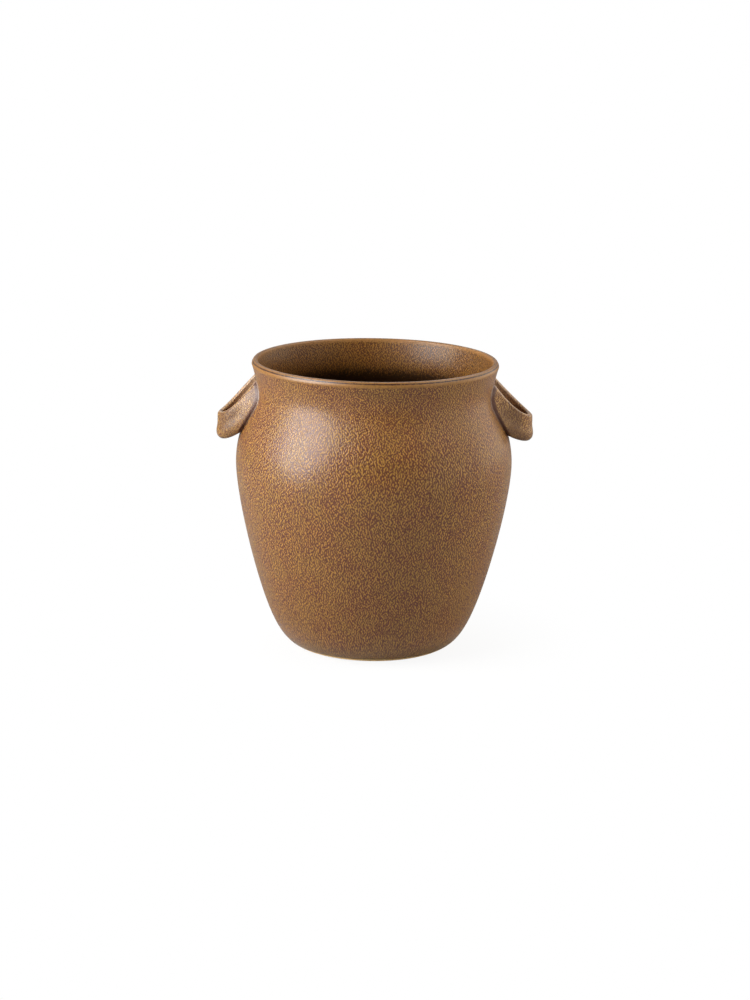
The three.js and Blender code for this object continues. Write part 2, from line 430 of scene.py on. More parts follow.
def unwrapped(zone, along):
    """How far up the flat glaze sheet each profile point lies: three bands with a gap between them."""
    bands = [
        (("underside", "ring"), 0.0, 0.06),
        (("wall", "lip_out", "lip_in"), 0.07, 0.66),
        (("inside", "floor"), 0.67, 1.0),
    ]
    up = np.zeros(len(zone))
    for names, low, high in bands:
        here = np.isin(zone, names)
        part = (along[here] - along[here].min()) / np.ptp(along[here])
        up[here] = low + (high - low) * part
    return up


# -------------------------------- node helpers

def set_input(tree, socket, value):
    """Links the socket from another one, or gives it a plain value."""
    if isinstance(value, bpy.types.NodeSocket):
        tree.links.new(value, socket)
    else:
        socket.default_value = value


def add_node(tree, kind, inputs=None, **settings):
    """A node with its settings, and its inputs either linked or given a value."""
    made = tree.nodes.new(kind)
    for name, value in settings.items():
        setattr(made, name, value)
    for key, value in (inputs or {}).items():
        set_input(tree, made.inputs[key], value)
    return made


def in_use(sockets, name):
    """A node can hold several sockets of one name: the one that its settings switch on."""
    return next(s for s in sockets if s.name == name and s.enabled)


def maths(tree, operation, first, second=0.5, third=0.0, clamp=False):
    made = add_node(tree, "ShaderNodeMath", {0: first, 1: second, 2: third},
                    operation=operation, use_clamp=clamp)
    return made.outputs[0]


def swing(tree, value, amount):
    """How far a value lies from its middle, 0.5, times the amount."""
    return maths(tree, "MULTIPLY_ADD", value, amount, -amount / 2)


def ramp(tree, value, low, high, to_low=0.0, to_high=1.0):
    """Value carried from one range to another with a soft start and end."""
    made = add_node(tree, "ShaderNodeMapRange",
                    {"Value": value, "From Min": low, "From Max": high, "To Min": to_low, "To Max": to_high},
                    interpolation_type="SMOOTHSTEP")
    return made.outputs["Result"]


def scaled(tree, vector, amount):
    made = add_node(tree, "ShaderNodeVectorMath", {0: vector, "Scale": amount}, operation="SCALE")
    return made.outputs[0]


def vector(tree, x, y, z=0.0):
    return add_node(tree, "ShaderNodeCombineXYZ", {"X": x, "Y": y, "Z": z}).outputs[0]


def parts(tree, value):
    """The X, Y and Z of a vector, by name."""
    return add_node(tree, "ShaderNodeSeparateXYZ", {0: value}).outputs


def blend(tree, factor, first, second, kind="RGBA"):
    made = add_node(tree, "ShaderNodeMix", data_type=kind)
    for name, value in (("Factor", factor), ("A", first), ("B", second)):
        set_input(tree, in_use(made.inputs, name), value)
    return in_use(made.outputs, "Result")


def noise(tree, place, scale, detail, roughness=0.5):
    made = add_node(tree, "ShaderNodeTexNoise",
                    {"Vector": place, "Scale": scale, "Detail": detail, "Roughness": roughness})
    return made.outputs["Fac"]


def attribute(tree, name):
    return add_node(tree, "ShaderNodeAttribute", attribute_name=name).outputs["Fac"]


def node_group(name, tree_type, inputs, outputs):
    """An empty group with named sockets; returns it with what it is given and what it puts out."""
    group = bpy.data.node_groups.new(name, tree_type)
    for way, sockets in (("INPUT", inputs), ("OUTPUT", outputs)):
        for label, kind, value in sockets:
            made = group.interface.new_socket(label, in_out=way, socket_type="NodeSocket" + kind)
            if value is not None:
                made.default_value = value
    return group, group.nodes.new("NodeGroupInput").outputs, group.nodes.new("NodeGroupOutput").inputs


def use_group(tree, group, inputs):
    return add_node(tree, "ShaderNodeGroup", inputs, node_tree=group).outputs


def colour(red, green, blue):
    """A colour written as it looks on screen, 0 to 255, turned into the shader's own scale."""
    shares = [c / 255 for c in (red, green, blue)]
    return tuple(c / 12.92 if c <= 0.04045 else ((c + 0.055) / 1.055) ** 2.4 for c in shares) + (1.0,)


# -------------------------------- glaze, as node groups

def fleck_sheet(tree, given, turn, shift):
    """Worm-like ripples on a flat sheet, its width the way round the pot at the reach given."""
    flat = vector(tree, maths(tree, "MULTIPLY", turn, given["Reach"]), given["Run"])
    sized = scaled(tree, flat, maths(tree, "DIVIDE", 1.0, given["Fleck size"]))
    moved = add_node(tree, "ShaderNodeVectorMath", {0: sized, 1: (shift, shift, 0.0)}).outputs[0]
    made = add_node(tree, "ShaderNodeTexGabor",
                    {"Vector": moved, "Scale": 1.0, "Frequency": RIPPLES_PER_FLECK,
                     "Anisotropy": given["Alignment"], "Orientation": 0.0}, gabor_type="2D")
    return made.outputs["Value"]


def opposite(tree, turn):
    """The same place counted from the other side of the pot."""
    sine = maths(tree, "MULTIPLY", maths(tree, "SINE", turn), -1.0)
    cosine = maths(tree, "MULTIPLY", maths(tree, "COSINE", turn), -1.0)
    return maths(tree, "ARCTAN2", sine, cosine)


def fleck_group():
    """Flecks where the glaze has parted, with its slow drift in colour and its fine grain."""
    tree, given, out = node_group(
        "Glaze flecks", "ShaderNodeTree",
        [("Place", "Vector", None), ("Turn", "Float", 0.0), ("Run", "Float", 0.0),
         ("Reach", "Float", SHEET_REACH), ("Fleck size", "Float", 0.0022), ("Alignment", "Float", 0.3),
         ("Patch size", "Float", 0.022), ("Soft edge", "Float", 0.05), ("Parting level", "Float", 0.5)],
        [("Fleck", "Float", None), ("Drift", "Float", None), ("Grain", "Float", None)],
    )
    # The front sheet has given way to the back one before its own ends meet behind the pot.
    front = fleck_sheet(tree, given, given["Turn"], 0.0)
    back = fleck_sheet(tree, given, opposite(tree, given["Turn"]), BACK_SHEET_SHIFT)
    share = ramp(tree, maths(tree, "ABSOLUTE", given["Turn"]), *SHEET_JOIN_TURNS)
    ripples = blend(tree, share, front, back, kind="FLOAT")
    drift = noise(tree, given["Place"], maths(tree, "DIVIDE", 1.0, given["Patch size"]), detail=2.0,
                  roughness=0.55)
    grain = noise(tree, given["Place"], GRAIN_SCALE, detail=1.0, roughness=0.6)
    leaning = maths(tree, "ADD", ripples, swing(tree, drift, DRIFT_LEAN))
    level = maths(tree, "ADD", leaning, swing(tree, grain, GRAIN_BREAK))
    low = maths(tree, "SUBTRACT", given["Parting level"], given["Soft edge"])
    high = maths(tree, "ADD", given["Parting level"], given["Soft edge"])
    set_input(tree, out["Fleck"], ramp(tree, level, low, high))
    set_input(tree, out["Drift"], drift)
    set_input(tree, out["Grain"], grain)
    return tree


def colour_group():
    """The glaze's colour: flecks on a ground, then evened (and darker near the foot as painted shade), thin,
    pooled or painted-shade colours, then pale glaze and painted highlight, reflection and light colours over
    them.
    """
    tree, given, out = node_group(
        "Glaze colour", "ShaderNodeTree",
        [("Fleck", "Float", 0.0), ("Drift", "Float", 0.5), ("Grain", "Float", 0.5), ("Thin", "Float", 0.0),
         ("Pool and shade", "Float", 0.0), ("Pale glaze and painted light", "Float", 0.0), ("Even", "Float", 0.0),
         ("Patchiness", "Float", 0.12), ("Speckle", "Float", 0.16), ("Ground", "Color", None),
         ("Fleck colour", "Color", None), ("Thin colour", "Color", None), ("Pool and shade colour", "Color", None),
         ("Even colour", "Color", None), ("Pale glaze and painted light colour", "Color", None)],
        [("Colour", "Color", None)],
    )
    mottled = blend(tree, given["Fleck"], given["Ground"], given["Fleck colour"])
    patchy = ramp(tree, given["Drift"], *PATCH_DRIFT, 0.0, given["Patchiness"])
    patched = blend(tree, patchy, mottled, given["Even colour"])
    # Evened, and near the foot darker, partly as painted shade.
    evened = blend(tree, given["Even"], patched, given["Even colour"])
    # Thin glaze breaks up along the grain, and its flecks still show a little.
    bared = maths(tree, "ADD", given["Thin"], swing(tree, given["Grain"], THIN_BREAK))
    bared = ramp(tree, bared, *THIN_GRADE)
    bared = maths(tree, "MULTIPLY", bared, maths(tree, "MULTIPLY_ADD", given["Fleck"], -FLECK_HOLD, 1.0))
    thinned = blend(tree, bared, evened, given["Thin colour"])
    # Pooled glaze and painted shade.
    pooled_and_shaded = blend(tree, given["Pool and shade"], thinned, given["Pool and shade colour"])
    # Pale glaze with painted highlights, reflection and light.
    pale_and_painted_light = blend(tree, given["Pale glaze and painted light"], pooled_and_shaded, given["Pale glaze and painted light colour"])
    # Slow patches lean a little warmer or greener, and the grain makes fine light and dark specks.
    lean = blend(tree, ramp(tree, given["Drift"], *LEAN_DRIFT), WARMER, GREENER)
    tinted = add_node(tree, "ShaderNodeVectorMath", {0: pale_and_painted_light, 1: lean}, operation="MULTIPLY").outputs[0]
    darkest = maths(tree, "SUBTRACT", 1.0, given["Speckle"])
    lightest = maths(tree, "ADD", 1.0, given["Speckle"])
    specks = ramp(tree, given["Grain"], *SPECK_GRAIN, darkest, lightest)
    set_input(tree, out["Colour"], scaled(tree, tinted, specks))
    return tree


def relief_group():
    """Height of the glaze skin: flecks and grain stand up a little, and thin glaze lies smooth."""
    tree, given, out = node_group(
        "Glaze relief", "ShaderNodeTree",
        [("Fleck", "Float", 0.0), ("Grain", "Float", 0.5), ("Thin", "Float", 0.0),
         ("Fleck height", "Float", 1.0), ("Grain height", "Float", 0.25)],
        [("Height", "Float", None)],
    )
    flecks = maths(tree, "MULTIPLY", given["Fleck"], given["Fleck height"])
    grains = maths(tree, "MULTIPLY", given["Grain"], given["Grain height"])
    calm = maths(tree, "MULTIPLY_ADD", given["Thin"], -THIN_CALM, 1.0, clamp=True)
    set_input(tree, out["Height"], maths(tree, "MULTIPLY", maths(tree, "ADD", flecks, grains), calm))
    return tree


FLECKS = fleck_group()
COLOURS = colour_group()
RELIEF = relief_group()


def cleared_tree(owner):
    """The node tree of a material or a world, emptied."""
    owner.use_nodes = True
    owner.node_tree.nodes.clear()
    return owner.node_tree


def new_material(name):
    material = bpy.data.materials.new(name)
    tree = cleared_tree(material)
    shader = add_node(tree, "ShaderNodeBsdfPrincipled")
    add_node(tree, "ShaderNodeOutputMaterial", {"Surface": shader.outputs["BSDF"]})
    return material, tree, shader


def glaze(name, colours, fleck_size, soft_edge, parting_level, roughness=0.33, shine=0.5, relief=0.00009,
          turned=True, foot_evening_and_shade=0.0, dark_patches=0.0):
    """Satin glaze over stoneware. A turned piece gets its turn from its place, any other carries it.

    The parting level is how high a ripple stands before the glaze parts there and leaves a fleck.
    """
    material, tree, shader = new_material(name)
    place = add_node(tree, "ShaderNodeTexCoord").outputs["Object"]
    split = parts(tree, place)
    if turned:
        turn = maths(tree, "ARCTAN2", split["X"], maths(tree, "MULTIPLY", split["Y"], -1.0))
    else:
        turn = attribute(tree, "turn")
    flecks = use_group(tree, FLECKS, {"Place": place, "Turn": turn, "Run": attribute(tree, "run"),
                                      "Fleck size": fleck_size, "Soft edge": soft_edge,
                                      "Parting level": parting_level})
    marks = {mark: flecks[mark] for mark in ("Fleck", "Drift", "Grain")}
    thin = attribute(tree, "thin")
    # The pool mark carries pooled glaze and painted shade.
    broken = maths(tree, "ADD", attribute(tree, "pool_and_shade"), swing(tree, marks["Grain"], POOL_BREAK))
    pooled = maths(tree, "MAXIMUM", ramp(tree, broken, *POOL_GRADE),
                   ramp(tree, marks["Drift"], *DARK_PATCH_DRIFT, 0.0, dark_patches))
    # Evened and darker near the foot, partly as painted shade.
    evened = ramp(tree, split["Z"], *FOOT_EVEN_AND_SHADE_LEVELS, foot_evening_and_shade, 0.0)
    # The edge mark carries pale glaze and the painted highlights, reflection and light.
    tint = use_group(tree, COLOURS, {**marks, **colours, "Thin": thin, "Pool and shade": pooled, "Even": evened,
                                     "Pale glaze and painted light": attribute(tree, "edge")})
    skin = use_group(tree, RELIEF, {"Fleck": marks["Fleck"], "Grain": marks["Grain"], "Thin": thin})
    raised = add_node(tree, "ShaderNodeBump", {"Height": skin["Height"], "Strength": 1.0, "Distance": relief})
    set_input(tree, shader.inputs["Base Color"], tint["Colour"])
    set_input(tree, shader.inputs["Normal"], raised.outputs["Normal"])
    shader.inputs["Roughness"].default_value = roughness
    shader.inputs["Specular IOR Level"].default_value = shine
    return material


def fired_clay(name):
    """Bare stoneware under the foot: buff, with dark iron specks and a dry, gritty face."""
    material, tree, shader = new_material(name)
    place = add_node(tree, "ShaderNodeTexCoord").outputs["Object"]
    clouds = ramp(tree, noise(tree, place, CLOUD_SCALE, detail=5.0, roughness=0.6), *CLOUD_GRADE)
    buff = blend(tree, clouds, colour(168, 132, 98), colour(188, 154, 118))
    iron = add_node(tree, "ShaderNodeTexVoronoi", {"Vector": place, "Scale": IRON_SCALE}).outputs["Distance"]
    speckled = blend(tree, ramp(tree, iron, *IRON_GRADE, 1.0, 0.0), buff, colour(96, 66, 46))
    grit = noise(tree, place, GRIT_SCALE, detail=3.0)
    raised = add_node(tree, "ShaderNodeBump", {"Height": grit, "Strength": 0.8, "Distance": GRIT_HEIGHT})
    set_input(tree, shader.inputs["Base Color"], speckled)
    set_input(tree, shader.inputs["Roughness"], ramp(tree, grit, 0.0, 1.0, *CLAY_ROUGHNESS))
    set_input(tree, shader.inputs["Normal"], raised.outputs["Normal"])
    return material


OUTER_COLOURS = {
    "Ground": colour(96, 56, 42),
    "Fleck colour": colour(168, 123, 56),
    "Thin colour": colour(140, 99, 52),
    "Pool and shade colour": colour(54, 30, 24),
    "Even colour": colour(108, 79, 42),
    # The foot's pale line: thin glaze brightened as a painted reflection of the lit floor.
    "Pale glaze and painted light colour": colour(250, 208, 130),
}
# The inside's colours are set darker than the outer glaze as painted shade of the interior; its pool colour
# is the painted shade deep inside.
INNER_COLOURS = {
    "Ground": colour(76, 44, 18),
    "Fleck colour": colour(138, 94, 36),
    "Thin colour": colour(142, 100, 54),
    "Pool and shade colour": colour(38, 21, 5),
    "Even colour": colour(92, 62, 28),
    "Pale glaze and painted light colour": colour(184, 146, 98),
}
EAR_COLOURS = {
    "Ground": colour(104, 66, 45),
    "Fleck colour": colour(168, 129, 71),
    "Thin colour": colour(150, 115, 72),
    # Pooled glaze in the waist and painted shade at the roots.
    "Pool and shade colour": colour(88, 56, 42),
    "Even colour": colour(122, 92, 55),
    # The painted highlights on the strap's top edge and fillet, and painted light on its inner faces.
    "Pale glaze and painted light colour": colour(204, 178, 152),
}

OUTER_GLAZE = glaze("outer_glaze", OUTER_COLOURS, fleck_size=0.00205, soft_edge=0.09, parting_level=0.545,
                    foot_evening_and_shade=0.7)
INNER_GLAZE = glaze("inner_glaze", INNER_COLOURS, fleck_size=0.0022, soft_edge=0.06, parting_level=0.52,
                    roughness=0.38, shine=0.4)
EAR_GLAZE = glaze("ear_glaze", EAR_COLOURS, fleck_size=0.0017, soft_edge=0.06, parting_level=0.52,
                  relief=0.00006, turned=False, dark_patches=0.5)
CLAY = fired_clay("fired_clay")


# -------------------------------- the body, turned on the wheel

MARKS = ("thin", "pool_and_shade", "edge", "bare", "inside", "run", "unwrap")


def carried(tree, name):
    """A mark that the mesh carries, read by its name."""
    made = add_node(tree, "GeometryNodeInputNamedAttribute", {"Name": name}, data_type="FLOAT")
    return in_use(made.outputs, "Attribute")


def stored(tree, geometry, name, value, kind="FLOAT", domain="POINT"):
    """The geometry with a value stored on it under a name."""
    made = add_node(tree, "GeometryNodeStoreNamedAttribute", {"Geometry": geometry, "Name": name},
                    data_type=kind, domain=domain)
    set_input(tree, in_use(made.inputs, "Value"), value)
    return made.outputs["Geometry"]


def from_profile(tree, profile, row, value, kind):
    """The value that a row of the profile has."""
    made = add_node(tree, "GeometryNodeSampleIndex", {"Geometry": profile, "Index": row},
                    data_type=kind, domain="POINT")
    set_input(tree, in_use(made.inputs, "Value"), value)
    return in_use(made.outputs, "Value")


def wheel_tree():
    """Turns the profile of the object that it is put on about the upright axis."""
    tree, given, out = node_group(
        "Turned on the wheel", "GeometryNodeTree",
        [("Profile", "Geometry", None), ("Segments", "Int", 64), ("Rows", "Int", 2),
         ("Unevenness", "Float", 0.0), ("Unevenness seed", "Float", 0.0), ("Outer glaze", "Material", None),
         ("Inner glaze", "Material", None), ("Clay", "Material", None)],
        [("Jar", "Geometry", None)],
    )
    # A flat sheet with a column for each step of the turn and a row for each profile point.
    sheet = add_node(tree, "GeometryNodeMeshGrid",
                     {"Size X": 1.0, "Size Y": 1.0, "Vertices X": maths(tree, "ADD", given["Segments"], 1.0),
                      "Vertices Y": given["Rows"]}).outputs
    index = add_node(tree, "GeometryNodeInputIndex").outputs[0]
    column, row = [add_node(tree, "FunctionNodeIntegerMath", {0: index, 1: given["Rows"]},
                            operation=operation).outputs[0] for operation in ("DIVIDE_FLOOR", "MODULO")]
    geometry = sheet["Mesh"]
    for name in MARKS:
        value = from_profile(tree, given["Profile"], row, carried(tree, name), "FLOAT")
        geometry = stored(tree, geometry, name, value)
    flat = vector(tree, parts(tree, sheet["UV Map"])["X"], carried(tree, "unwrap"))
    geometry = stored(tree, geometry, "OFBake", flat, kind="FLOAT2", domain="CORNER")

    # The sheet is rolled round the axis and closed along its seam and at both poles.
    position = add_node(tree, "GeometryNodeInputPosition").outputs[0]
    section = parts(tree, from_profile(tree, given["Profile"], row, position, "FLOAT_VECTOR"))
    turn = maths(tree, "MULTIPLY", maths(tree, "DIVIDE", column, given["Segments"]), 2 * math.pi)
    east = maths(tree, "MULTIPLY", section["X"], maths(tree, "COSINE", turn))
    north = maths(tree, "MULTIPLY", section["X"], maths(tree, "SINE", turn))
    placed = add_node(tree, "GeometryNodeSetPosition",
                      {"Geometry": geometry, "Position": vector(tree, east, north, section["Z"])})
    closed = add_node(tree, "GeometryNodeMergeByDistance",
                      {"Geometry": placed.outputs["Geometry"], "Distance": MERGE_DISTANCE * MM})

    # The wall is pushed in a little here and there, never out, as soft clay is on the wheel.
    ripple = add_node(tree, "ShaderNodeTexNoise",
                      {"Scale": RIPPLE_SCALE, "Detail": 1.0, "W": given["Unevenness seed"]},
                      noise_dimensions="4D").outputs["Fac"]
    normal = add_node(tree, "GeometryNodeInputNormal").outputs[0]
    inward = maths(tree, "MULTIPLY", ripple, maths(tree, "MULTIPLY", given["Unevenness"], -1.0))
    soft = add_node(tree, "GeometryNodeSetPosition",
                    {"Geometry": closed.outputs["Geometry"], "Offset": scaled(tree, normal, inward)})
    rounded = add_node(tree, "GeometryNodeSetShadeSmooth", {"Geometry": soft.outputs["Geometry"]})
    whole = add_node(tree, "GeometryNodeRealizeInstances", {"Geometry": rounded.outputs["Geometry"]})

    geometry = add_node(tree, "GeometryNodeSetMaterial",
                        {"Geometry": whole.outputs["Geometry"], "Material": given["Outer glaze"]}).outputs[0]
    for mark, material in (("inside", "Inner glaze"), ("bare", "Clay")):
        chosen = maths(tree, "GREATER_THAN", carried(tree, mark), 0.99)
        geometry = add_node(tree, "GeometryNodeSetMaterial",
                            {"Geometry": geometry, "Selection": chosen,
                             "Material": given[material]}).outputs[0]
    set_input(tree, out["Jar"], geometry)
    return tree


def write_marks(mesh, marks):
    """Stores each mark's values on the mesh's points."""
    for name, values in marks.items():
        layer = mesh.attributes.new(name, "FLOAT", "POINT")
        layer.data.foreach_set("value", np.asarray(values, np.float32))


def read_mark(mesh, name):
    values = np.zeros(len(mesh.vertices), np.float32)
    mesh.attributes[name].data.foreach_get("value", values)
    return values


def new_object(name, data):
    made = bpy.data.objects.new(name, data)
    bpy.context.scene.collection.objects.link(made)
    return made


def profile_object(points, marks):
    """The profile as a run of edges in the plane y = 0."""
    mesh = bpy.data.meshes.new("jar_profile")
    corners = [(r * MM, 0, z * MM) for r, z in points]
    mesh.from_pydata(corners, [(i, i + 1) for i in range(len(corners) - 1)], [])
    write_marks(mesh, marks)
    return new_object("jar_profile", mesh)


def turned_body():
    points, zone = body_section()
    source = profile_object(points, glaze_marks(points, zone))
    modifier = source.modifiers.new("wheel", "NODES")
    modifier.node_group = wheel_tree()
    values = {"Segments": WHEEL_SEGMENTS, "Rows": len(points), "Unevenness": UNEVENNESS,
              "Unevenness seed": UNEVENNESS_SEED, "Outer glaze": OUTER_GLAZE, "Inner glaze": INNER_GLAZE,
              "Clay": CLAY}
    for item in modifier.node_group.interface.items_tree:
        if item.in_out == "INPUT" and item.name in values:
            modifier[item.identifier] = values[item.name]
    bpy.context.view_layer.update()
    depsgraph = bpy.context.evaluated_depsgraph_get()
    mesh = bpy.data.meshes.new_from_object(source.evaluated_get(depsgraph), preserve_all_data_layers=True,
                                           depsgraph=depsgraph)
    bpy.data.objects.remove(source)
    mesh.name = "glazed_body"
    return new_object("glazed_body", mesh)


# -------------------------------- the ears

def strap_section(bottom, top, flare):
    """Heights up the strap at one station, with the outward distance of its outer and inner face."""
    lower_round = LOWER_ROUND + flare / 2
    upper_round = STRAP_THICKNESS / 2
    angle = np.linspace(0, UPRIGHT, STRAP_ROUND_STEPS)
    side = np.linspace(bottom + lower_round, top - upper_round, STRAP_SIDE_STEPS + 2)[1:-1]
    height = np.concatenate([bottom + lower_round * (1 - np.cos(angle)), side,
                             top - upper_round * (1 - np.cos(angle[::-1]))])
    fullness = np.concatenate([np.sin(angle), np.ones(len(side)), np.sin(angle[::-1])])
    level = (height - bottom) / (top - bottom)
    taper = np.clip((level - FLARE_TOP) / (1 - FLARE_TOP), 0, None)
    thickness = STRAP_THICKNESS + flare * (1 - taper**2)
    waist = WAIST_DEPTH * bump(level, WAIST_LEVEL, WAIST_SPREAD)
    roll = LOWER_ROLL * np.clip(1 - level / LOWER_ROLL_LEVEL, 0, 1) ** 2
    outer = thickness / 2 * (1 + fullness) - waist * fullness - roll
    inner = thickness / 2 * (1 - fullness) - LOWER_ROLL_INSIDE * roll
    return height, level, outer, inner


def strap_ring(angle, set_back, near_side, reach):
    """The strap's closed ring at an angle round its arch, with the middle and level beside each point.

    Near side is the sign of the arm that faces the camera, and reach is how far out the tip is.
    """
    outer_span = reach - ARCH_CENTRE
    inner_span = outer_span - STRAP_THICKNESS
    forward = math.cos(angle) - set_back / outer_span
    run = 1 - forward
    bottom = EAR_TIP_BOTTOM + LOWER_EDGE_RISE * run**LOWER_EDGE_SWEEP
    if angle * near_side > 0:
        top = EAR_TIP_TOP + NEAR_EDGE_RISE * run**NEAR_EDGE_SWEEP
    else:
        top = EAR_TIP_TOP + FAR_EDGE_RISE * run**FAR_EDGE_SWEEP
    flare = ROOT_FLARE * min(run, FLARE_LIMIT) ** FLARE_SWEEP
    height, level, outer, inner = strap_section(bottom, top, flare)
    outward = np.array([math.cos(angle) / inner_span, math.sin(angle) / EAR_INNER_HALF_WIDTH])
    outward /= np.hypot(*outward)

    def placed(distance):
        lean = EAR_LEAN * level * max(forward, 0)
        x = ARCH_CENTRE + inner_span * math.cos(angle) - set_back + distance * outward[0] - lean
        y = EAR_INNER_HALF_WIDTH * math.sin(angle) + distance * outward[1]
        return np.stack([x, y, height], 1)

    middle = placed((outer + inner) / 2)
    up_and_down = ((placed(outer), placed(inner)), (middle, middle), (level, level))
    return [np.concatenate([up, down[1:-1][::-1]]) for up, down in up_and_down]


def beyond_wall(points):
    """How far points stand off the jar's outer face."""
    radius = np.hypot(points[..., 0], points[..., 1])
    return (radius - wall_radius(points[..., 2])) * wall_steepness(points[..., 2])


def crossing(gap, target):
    """Station, counted from the root, where a strap line first stands off the wall by the target."""
    beyond = np.nonzero(gap > target)[0][0]
    if beyond == 0:
        return 0.0
    before = gap[beyond - 1]
    after = gap[beyond]
    return beyond - 1 + (target - before) / (after - before)


def trimmed_stations(gap):
    """Where along one strap line the finished rings lie: closer together at the two roots."""
    half = len(gap) // 2
    last = len(gap) - 1
    start = crossing(gap[: half + 1], -JOINT_SINK)
    end = last - crossing(gap[half:][::-1], -JOINT_SINK)
    near = crossing(gap[: half + 1], 2 * JOINT_FILLET)
    far = last - crossing(gap[half:][::-1], 2 * JOINT_FILLET)
    return np.concatenate([np.linspace(start, near, ROOT_STEPS, endpoint=False),
                           np.linspace(near, far, STRAP_STATIONS),
                           np.linspace(far, end, ROOT_STEPS + 1)[1:]])


def strap_grid(near_side, reach):
    """Rings of the right ear from one root to the other, trimmed where the strap meets the jar."""
    arch = np.linspace(-UPRIGHT, UPRIGHT, STRAP_STATIONS)
    overrun = np.linspace(0, ROOT_OVERRUN, OVERRUN_STEPS + 1)[1:]
    stations = [(-UPRIGHT, d) for d in overrun[::-1]]
    stations += [(angle, 0.0) for angle in arch]
    stations += [(UPRIGHT, d) for d in overrun]
    rings = [strap_ring(angle, d, near_side, reach) for angle, d in stations]
    skin, core, level = [np.stack(part) for part in zip(*rings)]
    values = np.concatenate([skin, core, level[..., None]], 2)
    gaps = beyond_wall(skin)
    index = np.arange(len(stations), dtype=float)
    trimmed = np.zeros((STRAP_STATIONS + 2 * ROOT_STEPS,) + values.shape[1:])
    for line in range(values.shape[1]):
        at = trimmed_stations(gaps[:, line])
        for column in range(values.shape[2]):
            trimmed[:, line, column] = np.interp(at, index, values[:, line, column])
    return trimmed[..., :3], trimmed[..., 3:6], trimmed[..., 6]


def shaped_strap(droop, near_side, reach):
    """The strap's skin with its roots tucked in, its tip drooped and a small fillet at the wall."""
    skin, core, level = strap_grid(near_side, reach)
    tuck = ROOT_TUCK * np.clip(1 - beyond_wall(skin) / ROOT_TUCK_REACH, 0, ROOT_TUCK_LIMIT) ** 2
    outer_face = np.abs(skin[..., 1]) > np.abs(core[..., 1])
    side = np.sign(core[..., 1])
    skin[..., 1] -= side * tuck * np.where(outer_face, 1.0, INNER_FACE_TUCK)
    core[..., 1] -= side * tuck * CORE_TUCK
    for points in (skin, core):
        points[..., 2] -= droop * smooth(points[..., 0], WALL[:, 0].max() - DROOP_START_INSET,
                                         EAR_TIP - DROOP_END_INSET)
    off = beyond_wall(skin)
    away = skin - core
    away /= np.maximum(np.linalg.norm(away, axis=2, keepdims=True), 1e-6)
    nearness = np.clip(JOINT_FILLET - np.clip(off, 0, None), 0, JOINT_FILLET)
    swell = JOINT_FILLET - np.sqrt(np.clip(JOINT_FILLET**2 - nearness**2, 0, None))
    return skin + away * (FILLET_SWELL * swell)[..., None], core, level, off, outer_face, side


def strap_faces(stations, around):
    """Quads round the strap, and a fan of triangles over each end; the two hubs are the last corners."""
    station = np.arange(stations - 1)[:, None] * around
    here = (station + np.arange(around)[None, :]).ravel()
    beside = (station + (np.arange(around)[None, :] + 1) % around).ravel()
    faces = np.stack([here, here + around, beside + around, beside], 1).tolist()
    first_hub = stations * around
    last_ring = (stations - 1) * around
    for step in range(around):
        following = (step + 1) % around
        faces.append([first_hub, step, following])
        faces.append([first_hub + 1, last_ring + following, last_ring + step])
    return faces


def strap_marks(skin, core, level, off, outer_face, shown):
    """What each point of the strap carries: thin or pooled glaze, painted shade in the groove at the roots,
    painted highlights on the top edge and fillet, painted light on the inner faces, and how it ran.
    """
    # Pooled glaze and painted shade in the groove beside the wall.
    pressed = ROOT_POOL_AND_SHADE * smooth(off, *ROOT_POOL_AND_SHADE_FADE)
    waist = WAIST_POOL * bump(level, WAIST_POOL_LEVEL, WAIST_POOL_SPREAD)
    # A painted highlight on the top edge and on the fillet at the wall, and painted light on the inner faces.
    upper_edge_highlight = UPPER_EDGE_PAINTED_HIGHLIGHT * shown * bump(level, 1.0, UPPER_EDGE_HIGHLIGHT_SPREAD)
    joint = JOINT_PAINTED_HIGHLIGHT * (1 - smooth(off, *JOINT_HIGHLIGHT_FADE))
    inner_face_light = np.where(outer_face, 0, INNER_FACE_PAINTED_LIGHT) * smooth(off, *INNER_FACE_LIGHT_FADE)
    steps = np.linalg.norm(np.diff(core.mean(1), axis=0), axis=1)
    along = np.r_[0, np.cumsum(steps)] - steps.sum() / 2
    marks = {
        "thin": UPPER_EDGE_THIN * shown * bump(level, 1.0, UPPER_EDGE_THIN_SPREAD),
        "pool_and_shade": np.maximum(pressed, waist),
        "edge": np.maximum.reduce([upper_edge_highlight, joint, inner_face_light]),
        "turn": np.broadcast_to((along * MM / SHEET_REACH)[:, None], level.shape),
        "run": skin[..., 2] * STRAP_RUN * MM,
    }
    hubs = [0, 0]
    return {name: np.append(values.ravel(), hubs) for name, values in marks.items()}


def ear_mesh(droop, near_side, reach):
    """The right ear: a closed skin whose roots meet the wall, its glaze marks and its root lines."""
    skin, core, level, off, outer_face, side = shaped_strap(droop, near_side, reach)
    stations, around = level.shape
    corners = np.concatenate([skin.reshape(-1, 3), [skin[0].mean(0), skin[-1].mean(0)]])
    mesh = bpy.data.meshes.new("ear")
    mesh.from_pydata((corners * MM).tolist(), [], strap_faces(stations, around))
    shown = np.where(side * near_side > 0, 1.0, FAR_ARM_SHARE)
    write_marks(mesh, strap_marks(skin, core, level, off, outer_face, shown))
    unwrap_strap(mesh, stations, around)
    mesh.polygons.foreach_set("use_smooth", np.ones(len(mesh.polygons), bool))
    return mesh, [skin[ROOT_STEPS // 3], skin[-1 - ROOT_STEPS // 3]]


